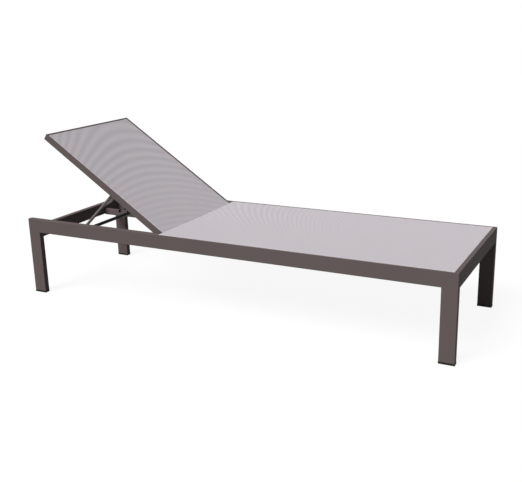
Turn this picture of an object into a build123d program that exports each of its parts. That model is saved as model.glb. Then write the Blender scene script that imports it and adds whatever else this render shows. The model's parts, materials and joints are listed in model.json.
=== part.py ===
from build123d import *
from math import atan2, cos, degrees, hypot, radians, sin
import os

os.makedirs("parts", exist_ok=True)

# A reclining sun lounger with a tube frame and two woven slings.
# X runs from the head end to the foot end, Y is across, Z is up.
# The origin is on the floor, under the middle of the lounger.

# Overall sizes, in millimetres
lounger_length = 1950
lounger_width = 650
seat_height = 348

# Side rails and legs: one flat tube, mitred at the corners
rail_height = 60
rail_thickness = 25
leg_width = 60
rail_wall = 2
tube_corner = 1.5

# Channel along the top of a tube, in which a sling's edge is held
rim_width = 5
rebate_depth = 1.6
slot_width = 2.2
channel_radius = 3
channel_wall = 1.6
channel_depth = 5

# Foot glides
glide_height = 5
glide_plug_height = 18
glide_play = 0.3
glide_edge = 1

# Cross rails of the fixed frame, each placed from the head end
head_rail_height = 55
head_rail_drop = 41.5
cross_rail_size = 25
foot_rebate_width = 9.5
rack_rail_place = 652.5
stretcher_place = 1320
stretcher_drop = 33
cross_rail_wall = 1.6

# Rack bars, with the notches that the prop's crossbar drops into
rack_width = 15
rack_height = 30
rack_wall = 2
rack_drop = 3
rack_inset = 3
rack_overhang = 12
rack_cap_thickness = 2
rack_cap_plug = 12
rack_cap_play = 0.2
notch_count = 5
notches_behind = 2
notch_pitch = 51
notch_depth = 12
notch_floor = 11
notch_ramp = 9
cut_overrun = 1

# Backrest frame
recline_angle = 33.7
hinge_place = 696.5
back_length = 696
back_gap = 8
back_corner = 5
back_tube_width = 25
back_tube_depth = 25
back_tube_wall = 1.6
back_rim_width = 9
back_cross_depth = 20

# Hinge between the backrest and the side rails
knuckle_length = 14
knuckle_plug = 28
knuckle_play = 0.2
hinge_pin_radius = 5
hinge_pin_seat = 20
hinge_pin_end = 7
hinge_bush_wall = 2
hinge_flange_radius = 11
running_play = 0.05
side_play = 0.3

# Prop that holds the backrest up
prop_hinge_reach = 309
prop_hinge_drop = 27.5
prop_inset = 67
prop_rod_radius = 6.6
prop_bend_radius = 18
prop_bar_place = 218
prop_sleeve_radius = 7.6
prop_bar_lift = 0.5
eye_radius = 9
eye_thickness = 6
eye_plate_length = 90
eye_belly_place = 42
eye_belly = 19
rod_start = 14

# Brackets and pins that carry the prop
bracket_plate = 2
bracket_ear = 3
bracket_play = 0.5
bracket_length = 30
ear_end_radius = 9
prop_pin_radius = 3
prop_pin_head_radius = 5
prop_pin_head = 2
prop_pin_tail = 4
clip_radius = 5
clip_thickness = 1
clip_gap = 0.2

# Rubber buffers under the backrest's top corners
buffer_radius = 8

# Slings and the rods in their edges
sling_thickness = 1.2
sling_hem_length = 22
sling_hem_extra = 0.8
sling_end_gap = 1.5
sling_side_play = 0.4
sling_top_gap = 0.6
pocket_tail = 42
keder_radius = 2.7
keder_gap = 0.3
keder_end_inset = 2
seat_rear_gap = 8.5
filler_play = 0.2
filler_end_gap = 3

# Places worked out from the sizes above
half_length = lounger_length / 2
half_width = lounger_width / 2
head_x = -half_length
foot_x = half_length
inner_y = half_width - rail_thickness
rail_y = half_width - rail_thickness / 2
rail_bottom = seat_height - rail_height
rail_z = seat_height - rail_height / 2
rebate_floor = seat_height - rebate_depth
channel_z = rebate_floor - channel_depth
channel_y = half_width - rim_width - slot_width / 2
rebate_width = rail_thickness - rim_width
hinge_x = head_x + hinge_place
hinge_z = seat_height - back_tube_depth / 2
back_half = inner_y - back_gap
back_inner = back_half - back_tube_width
back_rebate = back_tube_depth / 2 - rebate_depth
back_rebate_width = back_tube_width - back_rim_width
back_channel_y = back_half - back_rim_width - slot_width / 2
back_channel_n = back_rebate - channel_depth
rack_rail_x = head_x + rack_rail_place
head_rail_top = seat_height - head_rail_drop
bar_x = head_x + prop_bar_place
prop_half_width = back_half - prop_inset
sleeve_half = prop_half_width - prop_bend_radius
rack_spread = sleeve_half - rack_inset - rack_width
seat_rear_x = hinge_x + seat_rear_gap
seat_foot_x = foot_x - rail_thickness + foot_rebate_width - sling_end_gap

# Directions along the backrest and out of its face
back_up = Vector(-cos(radians(recline_angle)), 0, sin(radians(recline_angle)))
back_out = Vector(sin(radians(recline_angle)), 0, cos(radians(recline_angle)))
hinge_point = Vector(hinge_x, 0, hinge_z)

# The prop's hinge on the backrest, and its crossbar over the rack bars
prop_hinge = hinge_point + back_up * prop_hinge_reach - back_out * prop_hinge_drop
rack_bottom = head_rail_top - head_rail_height - rack_drop
rack_top = rack_bottom + rack_height
bar_z = rack_top + prop_bar_lift + prop_sleeve_radius
prop_reach = hypot(bar_x - prop_hinge.X, bar_z - prop_hinge.Z)
prop_down = Vector(bar_x - prop_hinge.X, 0, bar_z - prop_hinge.Z).normalized()

# Working planes: their first axis, second axis and normal are named in each line
across = Plane.XZ                                # X, Z, towards -Y
back_side = Plane(origin=hinge_point, x_dir=back_up, z_dir=(0, 1, 0))       # up the back, out, +Y
back_face = Plane(origin=hinge_point, x_dir=back_up, z_dir=back_out)         # up the back, -Y, out
back_top_end = Plane(origin=hinge_point + back_up * back_length, x_dir=(0, 1, 0), z_dir=-back_up)
prop_plane = Plane(origin=prop_hinge, x_dir=(0, 1, 0), z_dir=(prop_down.Z, 0, -prop_down.X))
prop_side = Plane(origin=prop_hinge, x_dir=prop_down, z_dir=(0, 1, 0))      # down the prop, +Y

sides = {"left": 1, "right": -1}
right_angle = 90


def save(piece, name):
    """Label a finished piece and write its STEP file."""
    piece.part.label = name
    export_step(piece.part, f"parts/{name}.step")


def hollow_section(width, height, wall):
    """Section of a rectangular tube, centred on the current location."""
    RectangleRounded(width, height, tube_corner)
    Rectangle(width - 2 * wall, height - 2 * wall, mode=Mode.SUBTRACT)


def channel_section(side, outer, width, bottom, top, wall, rim):
    """Section of a side tube with a rebate and a sling channel in its top.

    The outer face is at side * outer, and the rim along it stays at full height.
    """
    middle = side * (outer - width / 2)
    floor = top - rebate_depth
    channel = (side * (outer - rim - slot_width / 2), floor - channel_depth)
    with Locations((middle, (bottom + top) / 2)):
        RectangleRounded(width, top - bottom, tube_corner)
    with Locations((middle, (bottom + floor) / 2)):
        Rectangle(width - 2 * wall, floor - bottom - 2 * wall, mode=Mode.SUBTRACT)
    with Locations(channel):
        Circle(channel_radius + channel_wall)
    with Locations((side * (outer - rim - (width - rim) / 2), floor + rebate_depth / 2)):
        Rectangle(width - rim, rebate_depth, mode=Mode.SUBTRACT)
    with Locations(channel):
        Circle(channel_radius, mode=Mode.SUBTRACT)
    with Locations((channel[0], floor - channel_depth / 2)):
        Rectangle(slot_width, channel_depth, mode=Mode.SUBTRACT)


def mitre_plane(end_x, inward):
    """Plane of the joint between a rail and a leg, facing the rail."""
    return Plane(origin=(end_x, 0, seat_height), z_dir=(inward * rail_height, 0, leg_width))


# Side rails
for name, side in sides.items():
    with BuildPart() as side_rail:
        with BuildSketch(Plane.YZ.offset(head_x)):
            channel_section(side, half_width, rail_thickness, rail_bottom, seat_height,
                            rail_wall, rim_width)
        extrude(amount=lounger_length)
        split(bisect_by=mitre_plane(head_x, 1), keep=Keep.TOP)
        split(bisect_by=mitre_plane(foot_x, -1), keep=Keep.TOP)
        with BuildSketch(across.offset(-side * (inner_y - cut_overrun))):
            with Locations((hinge_x, hinge_z)):
                Circle(hinge_pin_radius + running_play + hinge_bush_wall)
        extrude(amount=-side * (rail_wall + 2 * cut_overrun), mode=Mode.SUBTRACT)
    save(side_rail, f"{name}_rail")

# Legs and their glides
for end, end_x, inward in (("head", head_x, 1), ("foot", foot_x, -1)):
    leg_x = end_x + inward * leg_width / 2
    for name, side in sides.items():
        with BuildPart() as leg:
            with BuildSketch(Plane.XY.offset(glide_height)):
                with Locations((leg_x, side * rail_y)):
                    hollow_section(leg_width, rail_thickness, rail_wall)
            extrude(amount=seat_height - glide_height)
            split(bisect_by=mitre_plane(end_x, inward), keep=Keep.BOTTOM)
        save(leg, f"{end}_{name}_leg")

        with BuildPart() as glide:
            with BuildSketch():
                with Locations((leg_x, side * rail_y)):
                    RectangleRounded(leg_width, rail_thickness, tube_corner)
            extrude(amount=glide_height)
            chamfer(glide.faces().sort_by(Axis.Z)[0].edges(), length=glide_edge)
            with BuildSketch(Plane.XY.offset(glide_height)):
                with Locations((leg_x, side * rail_y)):
                    plug_inset = rail_wall + glide_play
                    Rectangle(leg_width - 2 * plug_inset, rail_thickness - 2 * plug_inset)
            extrude(amount=glide_plug_height)
        save(glide, f"{end}_{name}_glide")

# Foot rail, with a rebate along its inner edge in which the seat sling's hem lies
foot_rail_x = foot_x - rail_thickness / 2
foot_rebate_depth = rebate_depth + sling_hem_extra
with BuildPart() as foot_rail:
    with BuildSketch(across.offset(-inner_y)):
        with Locations((foot_rail_x, rail_z)):
            RectangleRounded(rail_thickness, rail_height, tube_corner)
        with Locations((foot_rail_x, rail_z - foot_rebate_depth / 2)):
            Rectangle(rail_thickness - 2 * rail_wall,
                      rail_height - foot_rebate_depth - 2 * rail_wall, mode=Mode.SUBTRACT)
        with Locations((foot_x - rail_thickness + foot_rebate_width / 2,
                        seat_height - foot_rebate_depth / 2)):
            Rectangle(foot_rebate_width, foot_rebate_depth, mode=Mode.SUBTRACT)
    extrude(amount=2 * inner_y)
save(foot_rail, "foot_rail")

# Cross rails between the side rails: name, middle in X, middle in Z, width, height, wall
cross_rails = (
    ("head_rail", head_x + rail_thickness / 2, head_rail_top - head_rail_height / 2,
     rail_thickness, head_rail_height, rail_wall),
    ("rack_rail", rack_rail_x, rail_bottom + cross_rail_size / 2,
     cross_rail_size, cross_rail_size, cross_rail_wall),
    ("seat_stretcher", head_x + stretcher_place, seat_height - stretcher_drop - cross_rail_size / 2,
     cross_rail_size, cross_rail_size, cross_rail_wall),
)
for name, middle_x, middle_z, width, height, wall in cross_rails:
    with BuildPart() as cross_rail:
        with BuildSketch(across.offset(-inner_y)):
            with Locations((middle_x, middle_z)):
                hollow_section(width, height, wall)
        extrude(amount=2 * inner_y)
    save(cross_rail, name)

# Rack bars: the load side of each notch is upright, the other side is a ramp
rack_start = head_x + rail_thickness
rack_end = rack_rail_x + cross_rail_size / 2 + rack_overhang
notch_half = notch_floor / 2
for name, side in sides.items():
    rack_y = side * (rack_spread + rack_width / 2)
    with BuildPart() as rack:
        with BuildSketch(Plane.YZ.offset(rack_start)):
            with Locations((rack_y, (rack_top + rack_bottom) / 2)):
                hollow_section(rack_width, rack_height, rack_wall)
        extrude(amount=rack_end - rack_start)
        with BuildSketch(across.offset(-rack_y)):
            for step in range(notch_count):
                notch_x = bar_x + (step - notches_behind) * notch_pitch
                with BuildLine():
                    Polyline(
                        (notch_x - notch_half, rack_top + cut_overrun),
                        (notch_x - notch_half, rack_top - notch_depth),
                        (notch_x + notch_half, rack_top - notch_depth),
                        (notch_x + notch_half + notch_ramp, rack_top),
                        (notch_x + notch_half + notch_ramp, rack_top + cut_overrun),
                        close=True,
                    )
                make_face()
        extrude(amount=rack_width / 2 + cut_overrun, both=True, mode=Mode.SUBTRACT)
    save(rack, f"{name}_rack")

# Spacer blocks that hang the rack bars under the rail across their rear ends
with BuildPart() as rack_spacers:
    with BuildSketch(Plane.XY.offset(rack_top)):
        with Locations(*[(rack_rail_x, side * (rack_spread + rack_width / 2)) for side in sides.values()]):
            Rectangle(cross_rail_size, rack_width)
    extrude(amount=rail_bottom - rack_top)
save(rack_spacers, "rack_spacers")

# Caps in the open ends of the rack bars
with BuildPart() as rack_caps:
    with BuildSketch(Plane.YZ.offset(rack_end)):
        for side in sides.values():
            with Locations((side * (rack_spread + rack_width / 2), (rack_top + rack_bottom) / 2)):
                RectangleRounded(rack_width, rack_height, tube_corner)
    extrude(amount=rack_cap_thickness)
    with BuildSketch(Plane.YZ.offset(rack_end)):
        for side in sides.values():
            with Locations((side * (rack_spread + rack_width / 2), (rack_top + rack_bottom) / 2)):
                cap_inset = rack_wall + rack_cap_play
                Rectangle(rack_width - 2 * cap_inset, rack_height - 2 * cap_inset)
    extrude(amount=-rack_cap_plug)
save(rack_caps, "rack_end_caps")

# Strips that fill the rebate and slot where no sling covers the side rails
for name, side in sides.items():
    with BuildPart() as filler:
        with BuildSketch(Plane.YZ.offset(head_x + filler_end_gap)):
            with Locations((side * (inner_y + rebate_width / 2), rebate_floor + rebate_depth / 2)):
                Rectangle(rebate_width - 2 * filler_play, rebate_depth)
            with Locations((side * channel_y, rebate_floor - channel_depth / 2)):
                Rectangle(slot_width - 2 * filler_play, channel_depth)
        extrude(amount=seat_rear_x - head_x - filler_end_gap - sling_end_gap)
    save(filler, f"{name}_rail_filler")

# Seat sling: a flat sheet with hems at both ends and a fin down into each side channel
sling_half = half_width - rim_width - sling_side_play
with BuildPart() as seat_sling:
    with BuildSketch(Plane.YZ.offset(seat_rear_x)):
        with Locations((0, rebate_floor + sling_thickness / 2)):
            Rectangle(2 * sling_half, sling_thickness)
        fin_height = channel_depth - keder_radius - keder_gap
        for side in sides.values():
            with Locations((side * channel_y, rebate_floor - fin_height / 2)):
                Rectangle(sling_thickness, fin_height)
    extrude(amount=seat_foot_x - seat_rear_x)
    with BuildSketch(Plane.XY.offset(rebate_floor)):
        for hem_x in (seat_rear_x + sling_hem_length / 2, seat_foot_x - sling_hem_length / 2):
            with Locations((hem_x, 0)):
                Rectangle(sling_hem_length, 2 * (inner_y - sling_side_play))
    extrude(amount=-sling_hem_extra)
save(seat_sling, "seat_sling")

for name, side in sides.items():
    with BuildPart() as seat_keder:
        with BuildSketch(Plane.YZ.offset(seat_rear_x + keder_end_inset)):
            with Locations((side * channel_y, channel_z)):
                Circle(keder_radius)
        extrude(amount=seat_foot_x - seat_rear_x - 2 * keder_end_inset)
    save(seat_keder, f"{name}_seat_keder")

# Hinge bushes: a sleeve in the rail's inner wall, with a thick flange as a spacer
bush_outer = hinge_pin_radius + running_play + hinge_bush_wall
with BuildPart() as hinge_bushes:
    for side in sides.values():
        with BuildSketch(across.offset(-side * (back_half + side_play))):
            with Locations((hinge_x, hinge_z)):
                Circle(hinge_flange_radius)
        extrude(amount=-side * (inner_y - back_half - side_play))
        with BuildSketch(across.offset(-side * inner_y)):
            with Locations((hinge_x, hinge_z)):
                Circle(bush_outer)
        extrude(amount=-side * hinge_pin_end)
        with BuildSketch(across.offset(-side * back_half)):
            with Locations((hinge_x, hinge_z)):
                Circle(hinge_pin_radius + running_play)
        extrude(amount=-side * (inner_y - back_half + hinge_pin_end + cut_overrun), mode=Mode.SUBTRACT)
save(hinge_bushes, "hinge_bushes")

# Rubber buffers that the flat backrest lies on
buffer_height = hinge_z - back_tube_depth / 2 - side_play - head_rail_top
with BuildPart() as rest_buffers:
    with BuildSketch(Plane.XY.offset(head_rail_top)):
        with Locations(*[(head_x + rail_thickness / 2, side * (back_half - back_tube_width / 2))
                         for side in sides.values()]):
            Circle(buffer_radius)
    extrude(amount=buffer_height)
save(rest_buffers, "rest_buffers")

# Outline of the backrest, which rounds the corners where its side tubes meet its top tube
with BuildSketch(back_face) as back_outline:
    RectangleRounded(2 * back_length, 2 * back_half, back_corner)

# Side tubes of the backrest, mitred where they meet the top tube
for name, side in sides.items():
    with BuildPart() as back_tube:
        with BuildSketch(back_top_end):
            channel_section(side, back_half, back_tube_width, -back_tube_depth / 2,
                            back_tube_depth / 2, back_tube_wall, back_rim_width)
        extrude(amount=back_length - knuckle_length)
        corner = hinge_point + back_up * back_length + Vector(0, side * back_half, 0)
        mitre = Plane(origin=corner, z_dir=back_up + Vector(0, -side, 0))
        split(bisect_by=mitre, keep=Keep.BOTTOM)
        extrude(back_outline.sketch, amount=back_tube_depth, both=True, mode=Mode.INTERSECT)
    save(back_tube, f"{name}_back_tube")

# Top tube of the backrest, with the same rebate for the sling's upper hem
with BuildPart() as back_top_tube:
    with BuildSketch(back_side.offset(-back_half)):
        with Locations((back_length - back_tube_width / 2, 0)):
            RectangleRounded(back_tube_width, back_tube_depth, tube_corner)
        with Locations((back_length - back_tube_width / 2, -rebate_depth / 2)):
            Rectangle(back_tube_width - 2 * back_tube_wall,
                      back_tube_depth - rebate_depth - 2 * back_tube_wall, mode=Mode.SUBTRACT)
        with Locations((back_length - back_rim_width - back_rebate_width / 2,
                        back_rebate + rebate_depth / 2)):
            Rectangle(back_rebate_width, rebate_depth, mode=Mode.SUBTRACT)
    extrude(amount=2 * back_half)
    for side in sides.values():
        corner = hinge_point + back_up * back_length + Vector(0, side * back_half, 0)
        split(bisect_by=Plane(origin=corner, z_dir=back_up + Vector(0, -side, 0)), keep=Keep.TOP)
    extrude(back_outline.sketch, amount=back_tube_depth, both=True, mode=Mode.INTERSECT)
save(back_top_tube, "back_top_tube")

# Round lower tube on the hinge line, which the sling's pocket goes round
with BuildPart() as back_lower_tube:
    with BuildSketch(back_side.offset(-back_inner)):
        Circle(back_rebate)
        Circle(back_rebate - back_tube_wall, mode=Mode.SUBTRACT)
    extrude(amount=2 * back_inner)
save(back_lower_tube, "back_lower_tube")

# Cross tube under the sling, which carries the prop
cross_tube_n = back_cross_depth / 2 - back_tube_depth / 2
with BuildPart() as back_cross_tube:
    with BuildSketch(back_side.offset(-back_inner)):
        with Locations((prop_hinge_reach, cross_tube_n)):
            hollow_section(back_tube_width, back_cross_depth, back_tube_wall)
    extrude(amount=2 * back_inner)
save(back_cross_tube, "back_cross_tube")

# Hinge knuckles: a rounded nose on the hinge line with the side tube's rebate, and plugs into both tubes
knuckle_half = back_tube_depth / 2
plug_top = back_channel_n - channel_radius - channel_wall - knuckle_play
plug_bottom = back_tube_wall + knuckle_play - knuckle_half
for name, side in sides.items():
    with BuildPart() as knuckle:
        with BuildSketch(back_side.offset(side * back_inner)):
            Circle(back_rebate)
            with Locations((knuckle_length / 2, -rebate_depth / 2)):
                Rectangle(knuckle_length, back_tube_depth - rebate_depth)
        extrude(amount=side * back_rebate_width)
        with BuildSketch(back_side.offset(side * (back_half - back_rim_width))):
            Circle(knuckle_half)
            with Locations((knuckle_length / 2, 0)):
                Rectangle(knuckle_length, back_tube_depth)
        extrude(amount=side * back_rim_width)
        with BuildSketch(back_side.offset(side * (back_half - back_tube_width / 2))):
            with Locations((knuckle_length + knuckle_plug / 2, (plug_top + plug_bottom) / 2)):
                Rectangle(knuckle_plug, plug_top - plug_bottom)
        extrude(amount=back_tube_width / 2 - back_tube_wall - knuckle_play, both=True)
        with BuildSketch(back_side.offset(side * back_inner)):
            Circle(back_rebate - back_tube_wall - knuckle_play)
        extrude(amount=-side * knuckle_plug)
        with BuildSketch(back_side.offset(side * back_half)):
            Circle(hinge_pin_radius)
        extrude(amount=-side * hinge_pin_seat, mode=Mode.SUBTRACT)
    save(knuckle, f"{name}_hinge_knuckle")

# Hinge pins, pressed into the knuckles and turning in the bushes
with BuildPart() as hinge_pins:
    for side in sides.values():
        with BuildSketch(back_side.offset(side * (back_half - hinge_pin_seat))):
            Circle(hinge_pin_radius)
        extrude(amount=side * (hinge_pin_seat + inner_y - back_half + hinge_pin_end))
save(hinge_pins, "hinge_pins")

# Back sling: a flat sheet in the rebates, which rolls over the knuckles' noses at its lower end,
# with a pocket sewn round the lower tube
pocket_outer = back_rebate + sling_thickness
pocket_turn = 2 * atan2(back_rebate, pocket_tail) - radians(right_angle)
tail_way = (-sin(pocket_turn), cos(pocket_turn))
tail_run = (back_rebate - pocket_outer * sin(pocket_turn)) / tail_way[1]
tail_end = pocket_outer * cos(pocket_turn) + tail_run * tail_way[0]
outer_touch = (pocket_outer * cos(pocket_turn), pocket_outer * sin(pocket_turn))
inner_touch = (back_rebate * cos(pocket_turn), back_rebate * sin(pocket_turn))
back_sling_half = back_half - back_rim_width - sling_side_play
back_sling_top = back_length - back_rim_width - sling_top_gap
keder_top = back_length - back_tube_width
with BuildPart() as back_sling:
    with BuildSketch(back_side.offset(-back_inner + sling_side_play)):
        with BuildLine():
            Line((back_sling_top, pocket_outer), (0, pocket_outer))
            ThreePointArc((0, pocket_outer), (-pocket_outer, 0), outer_touch)
            Line(outer_touch, (tail_end, back_rebate))
            Line((tail_end, back_rebate), (back_sling_top, back_rebate))
            Line((back_sling_top, back_rebate), (back_sling_top, pocket_outer))
        make_face()
        with BuildLine():
            Line((0, back_rebate), (pocket_tail, back_rebate))
            Line((pocket_tail, back_rebate), inner_touch)
            ThreePointArc(inner_touch, (-back_rebate, 0), (0, back_rebate))
        make_face(mode=Mode.SUBTRACT)
    extrude(amount=2 * (back_inner - sling_side_play))
    with BuildSketch(back_top_end.offset(back_length - back_sling_top)):
        with Locations((0, back_rebate + sling_thickness / 2)):
            Rectangle(2 * back_sling_half, sling_thickness)
    extrude(amount=back_sling_top)
    with BuildSketch(back_side.offset(-back_sling_half)):
        with BuildLine():
            Line((0, back_rebate), (0, pocket_outer))
            CenterArc((0, 0), pocket_outer, right_angle, right_angle)
            Line((-pocket_outer, 0), (-back_rebate, 0))
            CenterArc((0, 0), back_rebate, right_angle, right_angle)
        make_face()
    extrude(amount=2 * back_sling_half)
    with BuildSketch(back_top_end.offset(back_length - keder_top)):
        for side in sides.values():
            with Locations((side * back_channel_y, back_rebate - fin_height / 2)):
                Rectangle(sling_thickness, fin_height)
    extrude(amount=keder_top - knuckle_length - sling_end_gap)
save(back_sling, "back_sling")

for name, side in sides.items():
    with BuildPart() as back_keder:
        with BuildSketch(back_top_end.offset(back_length - keder_top)):
            with Locations((side * back_channel_y, back_channel_n)):
                Circle(keder_radius)
        extrude(amount=keder_top - knuckle_length - knuckle_plug)
    save(back_keder, f"{name}_back_keder")

# Brackets under the cross tube: a base plate with two ears round the prop's eye
ear_inner = eye_thickness / 2 + bracket_play
ear_outer = ear_inner + bracket_ear
bracket_top = -back_tube_depth / 2
for name, side in sides.items():
    with BuildPart() as bracket:
        with BuildSketch(back_side.offset(side * prop_half_width)):
            with Locations((prop_hinge_reach, bracket_top - bracket_plate / 2)):
                Rectangle(bracket_length, bracket_plate)
        extrude(amount=ear_outer, both=True)
        for ear in (1, -1):
            with BuildSketch(back_side.offset(side * prop_half_width + ear * ear_inner)):
                with BuildLine():
                    left = prop_hinge_reach - bracket_length / 2
                    right = prop_hinge_reach + bracket_length / 2
                    Polyline(
                        (prop_hinge_reach - ear_end_radius, -prop_hinge_drop),
                        (left, bracket_top),
                        (right, bracket_top),
                        (prop_hinge_reach + ear_end_radius, -prop_hinge_drop),
                        close=True,
                    )
                make_face()
                with Locations((prop_hinge_reach, -prop_hinge_drop)):
                    Circle(ear_end_radius)
                    Circle(prop_pin_radius, mode=Mode.SUBTRACT)
            extrude(amount=ear * bracket_ear)
    save(bracket, f"{name}_prop_bracket")

# Pins through the brackets and the prop's eyes, with a clip on each tail
with BuildPart() as prop_pins:
    for side in sides.values():
        head_face = side * (prop_half_width - ear_outer)
        with BuildSketch(prop_side.offset(head_face)):
            Circle(prop_pin_radius)
        extrude(amount=side * (2 * ear_outer + prop_pin_tail))
        with BuildSketch(prop_side.offset(head_face)):
            Circle(prop_pin_head_radius)
        extrude(amount=-side * prop_pin_head)
save(prop_pins, "prop_pins")

with BuildPart() as prop_clips:
    for side in sides.values():
        with BuildSketch(prop_side.offset(side * (prop_half_width + ear_outer + clip_gap))):
            Circle(clip_radius)
            Circle(prop_pin_radius, mode=Mode.SUBTRACT)
        extrude(amount=side * clip_thickness)
save(prop_clips, "prop_pin_clips")

# Prop: one bent rod with an eye plate at each end, whose belly stands out towards the foot end
with BuildPart() as prop_frame:
    with BuildLine(prop_plane) as prop_line:
        FilletPolyline(
            (-prop_half_width, rod_start),
            (-prop_half_width, prop_reach),
            (prop_half_width, prop_reach),
            (prop_half_width, rod_start),
            radius=prop_bend_radius,
        )
    with BuildSketch(Plane(origin=prop_line.line @ 0, z_dir=prop_line.line % 0)):
        Circle(prop_rod_radius)
    sweep()
    for side in sides.values():
        with BuildSketch(prop_side.offset(side * prop_half_width)):
            Circle(eye_radius)
            with BuildLine():
                Polyline(
                    (0, eye_radius),
                    (eye_belly_place, prop_rod_radius),
                    (eye_plate_length, prop_rod_radius),
                    (eye_plate_length, -prop_rod_radius),
                    (eye_belly_place, -eye_belly),
                    (0, -eye_radius),
                    close=True,
                )
            make_face()
            Circle(prop_pin_radius + running_play, mode=Mode.SUBTRACT)
        extrude(amount=eye_thickness / 2, both=True)
save(prop_frame, "prop_frame")

# Plastic sleeve on the prop's crossbar
with BuildPart() as prop_sleeve:
    with BuildSketch(prop_side.offset(-sleeve_half)):
        with Locations((prop_reach, 0)):
            Circle(prop_sleeve_radius)
            Circle(prop_rod_radius, mode=Mode.SUBTRACT)
    extrude(amount=2 * sleeve_half)
save(prop_sleeve, "prop_sleeve")

# The prop swings against the backrest so that its crossbar stays over the rack bars
prop_swing = -(prop_hinge.X - hinge_x) / (bar_x - prop_hinge.X) - 1
print(f"backrest hinge x {hinge_x:.3f} z {hinge_z:.3f}")
print(f"prop hinge x {prop_hinge.X:.3f} z {prop_hinge.Z:.3f}, crossbar x {bar_x:.3f} z {bar_z:.3f}")
print(f"prop reach {prop_reach:.3f}, prop angle {degrees(atan2(prop_down.Z, prop_down.X)):.3f}")
print(f"prop turn for each degree of backrest turn {prop_swing:.4f}")
print(f"rack top {rack_top:.3f} bottom {rack_bottom:.3f}, head rail top {head_rail_top:.3f}")
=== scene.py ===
"""A reclining sun lounger: its finishes, slings and small fittings, round the packed frame.

Sizes are in metres. X runs from the head end to the foot end, Y is across and Z is up.
On the backrest, "up" is the distance from the hinge line along its face, and "out" the
distance from the hinge line square to that face.
"""

import json
from math import cos, pi, radians, sin

import bmesh
import bpy
import numpy as np
from bpy.props import FloatProperty, FloatVectorProperty, IntProperty, PointerProperty
from bpy.types import Operator, Panel, PropertyGroup
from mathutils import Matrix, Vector


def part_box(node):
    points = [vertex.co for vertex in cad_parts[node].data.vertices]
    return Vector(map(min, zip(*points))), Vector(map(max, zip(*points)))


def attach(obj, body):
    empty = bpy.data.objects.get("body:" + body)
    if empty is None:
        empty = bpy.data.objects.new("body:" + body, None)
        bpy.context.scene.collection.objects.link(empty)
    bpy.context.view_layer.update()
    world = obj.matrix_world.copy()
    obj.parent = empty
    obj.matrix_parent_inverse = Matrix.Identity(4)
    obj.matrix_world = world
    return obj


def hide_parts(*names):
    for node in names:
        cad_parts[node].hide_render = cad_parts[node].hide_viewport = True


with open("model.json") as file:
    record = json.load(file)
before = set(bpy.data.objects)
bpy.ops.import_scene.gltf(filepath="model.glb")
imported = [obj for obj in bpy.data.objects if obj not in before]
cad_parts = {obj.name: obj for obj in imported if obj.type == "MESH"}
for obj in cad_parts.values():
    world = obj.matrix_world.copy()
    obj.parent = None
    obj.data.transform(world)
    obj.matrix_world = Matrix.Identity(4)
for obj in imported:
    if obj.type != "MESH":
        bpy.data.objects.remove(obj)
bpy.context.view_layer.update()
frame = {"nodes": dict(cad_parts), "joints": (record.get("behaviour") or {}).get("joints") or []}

bl_info = {
    "name": "Sun Lounger",
    "version": (1, 0, 0),
    "blender": (4, 5, 0),
    "location": "3D View > Sidebar > Lounger",
    "description": "Finishes, slings and small fittings of a reclining sun lounger",
    "category": "Object",
}

mm = 0.001

# Gap between a sling's end and the part beside it
side_play = 0.4 * mm

# The joints, as the frame gives them
joints = {joint["name"]: joint for joint in frame["joints"]}
hinge = np.array(joints["backrest_recline"]["pos_m"])
prop_pin = np.array(joints["prop_swing"]["pos_m"])
recline = radians(-joints["backrest_recline"]["range_deg"][0])
back_up = np.array((-cos(recline), 0, sin(recline)))
back_out = np.array((sin(recline), 0, cos(recline)))
across = np.array((0, 1, 0))


def linear(red, green, blue):
    """A colour of screen values from 0 to 255, as the linear values that a shader takes.

    The curve and its numbers are those of the sRGB standard.
    """
    share = np.array((red, green, blue)) / 255
    curved = ((share + 0.055) / 1.055) ** 2.4
    return tuple(np.where(share <= 0.04045, share / 12.92, curved))


# Settings that a user would change


class SlingSettings(PropertyGroup):
    """The two woven slings."""

    colour: FloatVectorProperty(
        name="Colour", description="Colour of the coated yarn",
        default=linear(201, 194, 200), subtype="COLOR", min=0, max=1)
    thread_colour: FloatVectorProperty(
        name="Thread colour", description="Colour of the sewing thread",
        default=linear(196, 189, 194), subtype="COLOR", min=0, max=1)
    yarn_pitch: FloatProperty(
        name="Yarn pitch", description="Distance from one yarn to the next",
        default=2.2 * mm, unit="LENGTH")
    yarn_relief: FloatProperty(
        name="Yarn relief", description="Height of a yarn over the gaps",
        default=0.25 * mm, unit="LENGTH")
    thickness: FloatProperty(
        name="Thickness", description="Thickness of the woven sheet",
        default=1.2 * mm, unit="LENGTH")
    seat_sag: FloatProperty(
        name="Seat sag", description="How far the middle of the seat hangs",
        default=2.5 * mm, unit="LENGTH")
    back_sag: FloatProperty(
        name="Back sag", description="How far the middle of the back hangs",
        default=2 * mm, unit="LENGTH")
    edge_bend: FloatProperty(
        name="Edge bend", description="Radius of the edge that turns down into the slot",
        default=4 * mm, unit="LENGTH")
    edge_fin: FloatProperty(
        name="Edge fin", description="Straight part of the edge, down in the slot",
        default=0.3 * mm, unit="LENGTH")
    hem_length: FloatProperty(
        name="Hem length", description="How far an end is folded under",
        default=22 * mm, unit="LENGTH")
    hem_thickness: FloatProperty(
        name="Hem thickness", description="Thickness of the folded layer",
        default=0.8 * mm, unit="LENGTH")
    stitch_pitch: FloatProperty(
        name="Stitch pitch", description="Distance from one stitch to the next",
        default=3.4 * mm, unit="LENGTH")


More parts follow.
